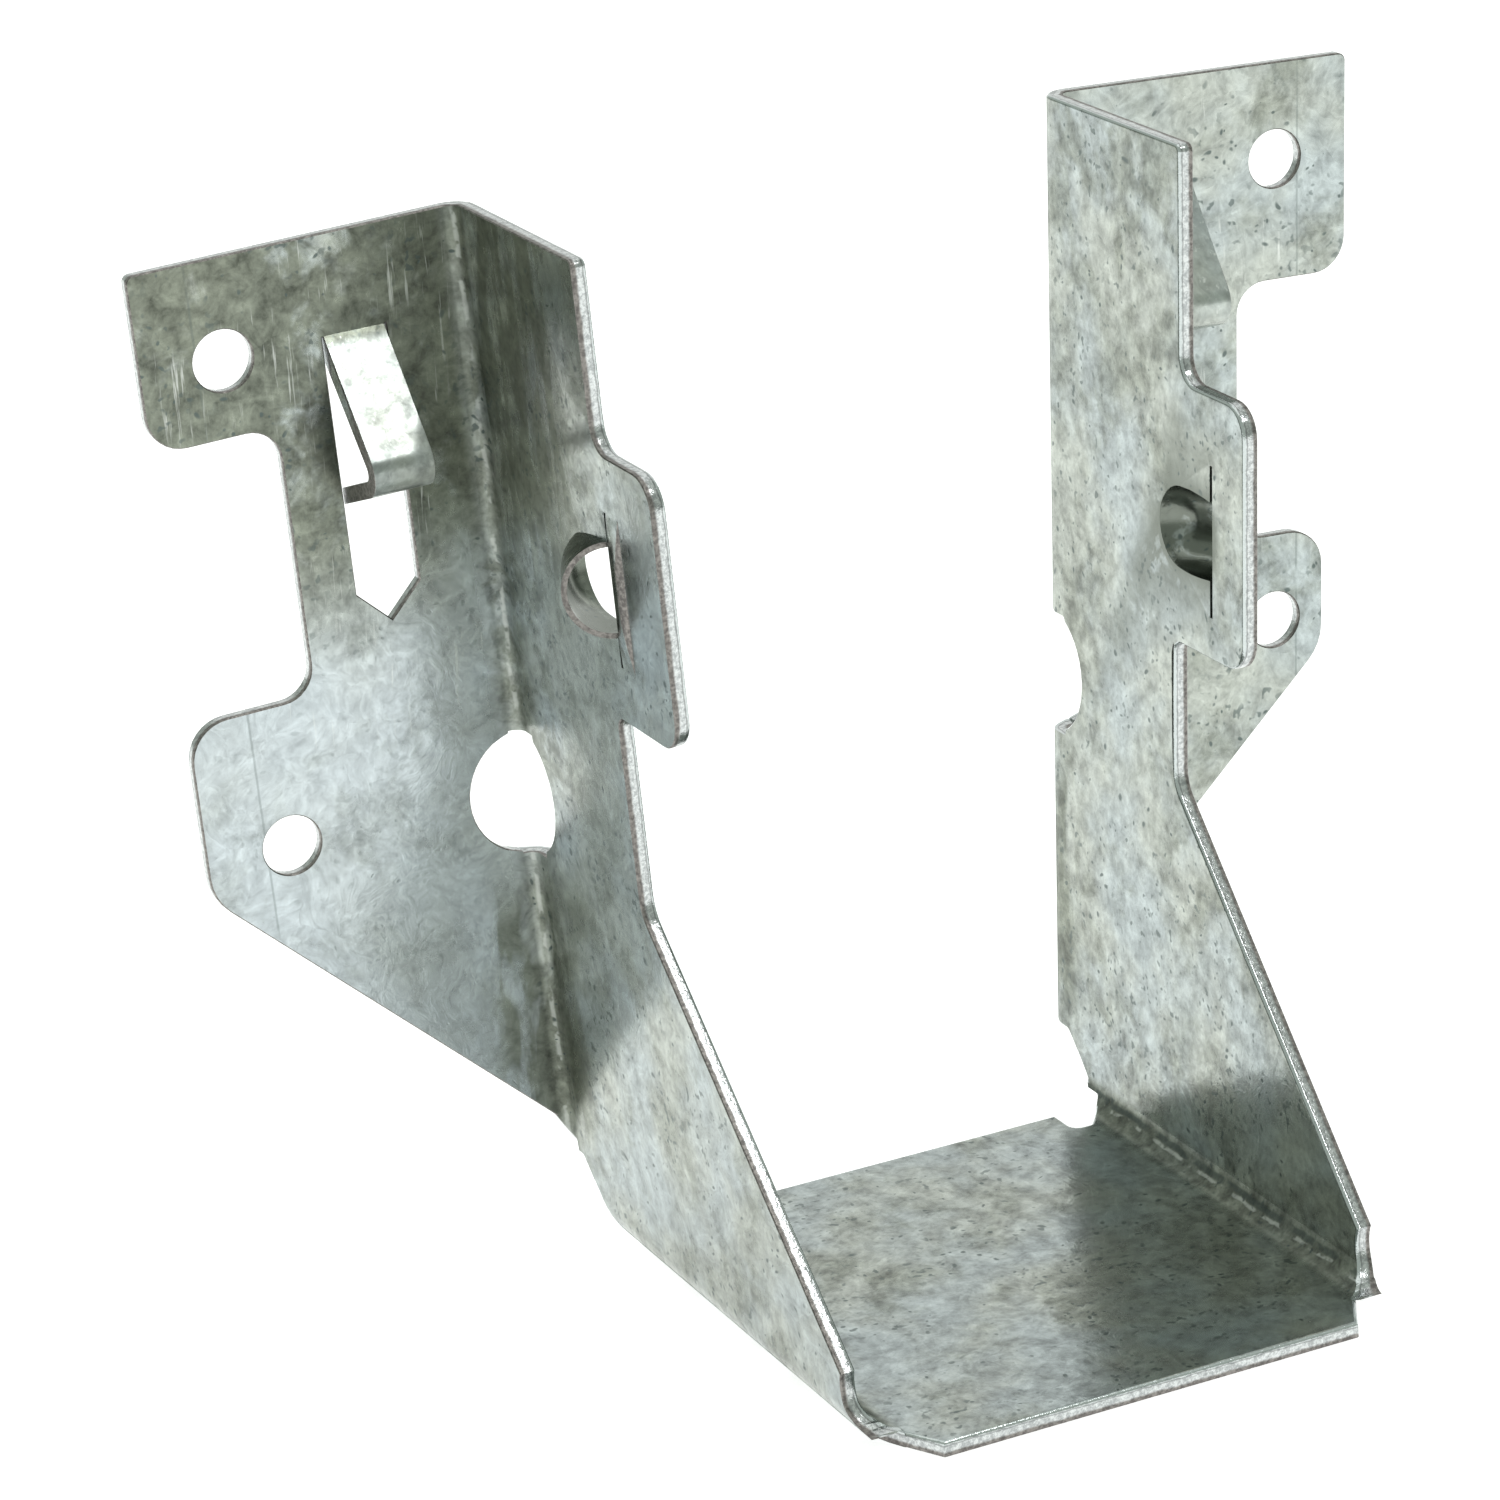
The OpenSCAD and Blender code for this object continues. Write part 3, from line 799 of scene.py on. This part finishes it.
# %% Colour and grit of the sheared edge
RUBBED_DARK, RUBBED_BRIGHT = (0.36, 0.375, 0.38, 1), (0.64, 0.66, 0.66, 1)
TORN_DARK, TORN_BRIGHT = (0.13, 0.12, 0.115, 1), (0.30, 0.28, 0.265, 1)
ROLLED_ZINC_HIGHLIGHT = (0.56, 0.60, 0.60, 1)
LIP_SHADE, EDGE_SPECK = (0.14, 0.15, 0.15, 1), (0.10, 0.11, 0.11, 1)

colour = mix(torn, mix(gate(grit, 0.32, 0.68), RUBBED_DARK, RUBBED_BRIGHT),
             mix(gate(grit, 0.32, 0.70), TORN_DARK, TORN_BRIGHT))
# the rolled band is paler than the zinc on the faces: a painted highlight along the rolled rims
colour = mix(rolled, colour, ROLLED_ZINC_HIGHLIGHT)
colour = mix(times(lip, 0.55), colour, LIP_SHADE)
colour = mix(times(surface["Speck"], 0.5), colour, EDGE_SPECK)
bsdf = tree.nodes["Principled BSDF"]
tree.links.new(colour, bsdf.inputs["Base Color"])
bsdf.inputs["Metallic"].default_value = 1.0
tree.links.new(calc("MULTIPLY_ADD", torn, 0.22, 0.20), bsdf.inputs["Roughness"])
bump = place("ShaderNodeBump", {"Strength": 0.5, "Distance": 0.05 * MM,
                                "Height": plus(grit, times(torn, -0.4))})
tree.links.new(bump.outputs["Normal"], bsdf.inputs["Normal"])
sheet.data.materials.append(edge)
print("sheared edge has", len(tree.nodes), "nodes, on",
      sum(f.material_index == 1 for f in sheet.data.polygons), "faces")

# %% [markdown]
# ## Floor and light
# Bright metal shows what stands around it, so most of its look is made here. The part lies on a
# light table, and its faces mirror an even white. The room behind on the right is white too, but
# the room behind on the left is dim: the seat and the foot of the right side mirror that part
# through each other, which is why they turn dark there. A room painted in the world needs no walls
# in the scene. A large soft box overhead gives soft shadows, and a small window over the front
# makes the prongs flash.

# %% Light table
bpy.ops.object.select_all(action="DESELECT")
bpy.ops.mesh.primitive_plane_add(size=6)
floor = bpy.context.active_object
floor.name = "light_table"
table = bpy.data.materials.new("light_table")
table.use_nodes = True
shell = table.node_tree.nodes["Principled BSDF"]
shell.inputs["Base Color"].default_value = (0.90, 0.90, 0.90, 1)
shell.inputs["Roughness"].default_value = 0.9
shell.inputs["Emission Color"].default_value = (1, 1, 1, 1)
shell.inputs["Emission Strength"].default_value = 0.72
floor.data.materials.append(table)
print("light table is", round(floor.dimensions.x), "m wide")

# %% Room
DIM_ROOM, WHITE_WALL = (0.50, 0.55, 0.50, 1), (0.95, 0.98, 0.95, 1)

world = bpy.data.worlds.new("studio")
world.use_nodes = True
tree = world.node_tree
sky = place("ShaderNodeSeparateXYZ", {0: place("ShaderNodeTexCoord").outputs["Generated"]}).outputs
white = times(gate(sky["X"], -0.10, 0.22), gate(sky["Y"], 0.1, 0.5))
backdrop = tree.nodes["Background"]
tree.links.new(mix(white, DIM_ROOM, WHITE_WALL), backdrop.inputs["Color"])
backdrop.inputs["Strength"].default_value = 1.0
bpy.context.scene.world = world
print("room has", len(tree.nodes), "nodes")


# %% Soft boxes
def softbox(name, at, aim, size, watts):
    light = bpy.data.lights.new(name, "AREA")
    light.shape, light.size, light.energy = "SQUARE", size, watts
    lamp = bpy.data.objects.new(name, light)
    lamp.location = at
    lamp.rotation_euler = (Vector(aim) - Vector(at)).to_track_quat("-Z", "Y").to_euler()
    bpy.context.scene.collection.objects.link(lamp)


softbox("overhead", at=(0.0, 0.15, 0.75), aim=(0, 0.02, 0), size=0.6, watts=0.8)
softbox("front_window", at=(0.152, -0.27, 0.556), aim=(-0.033, 0.025, 0.068), size=0.10, watts=0.45)
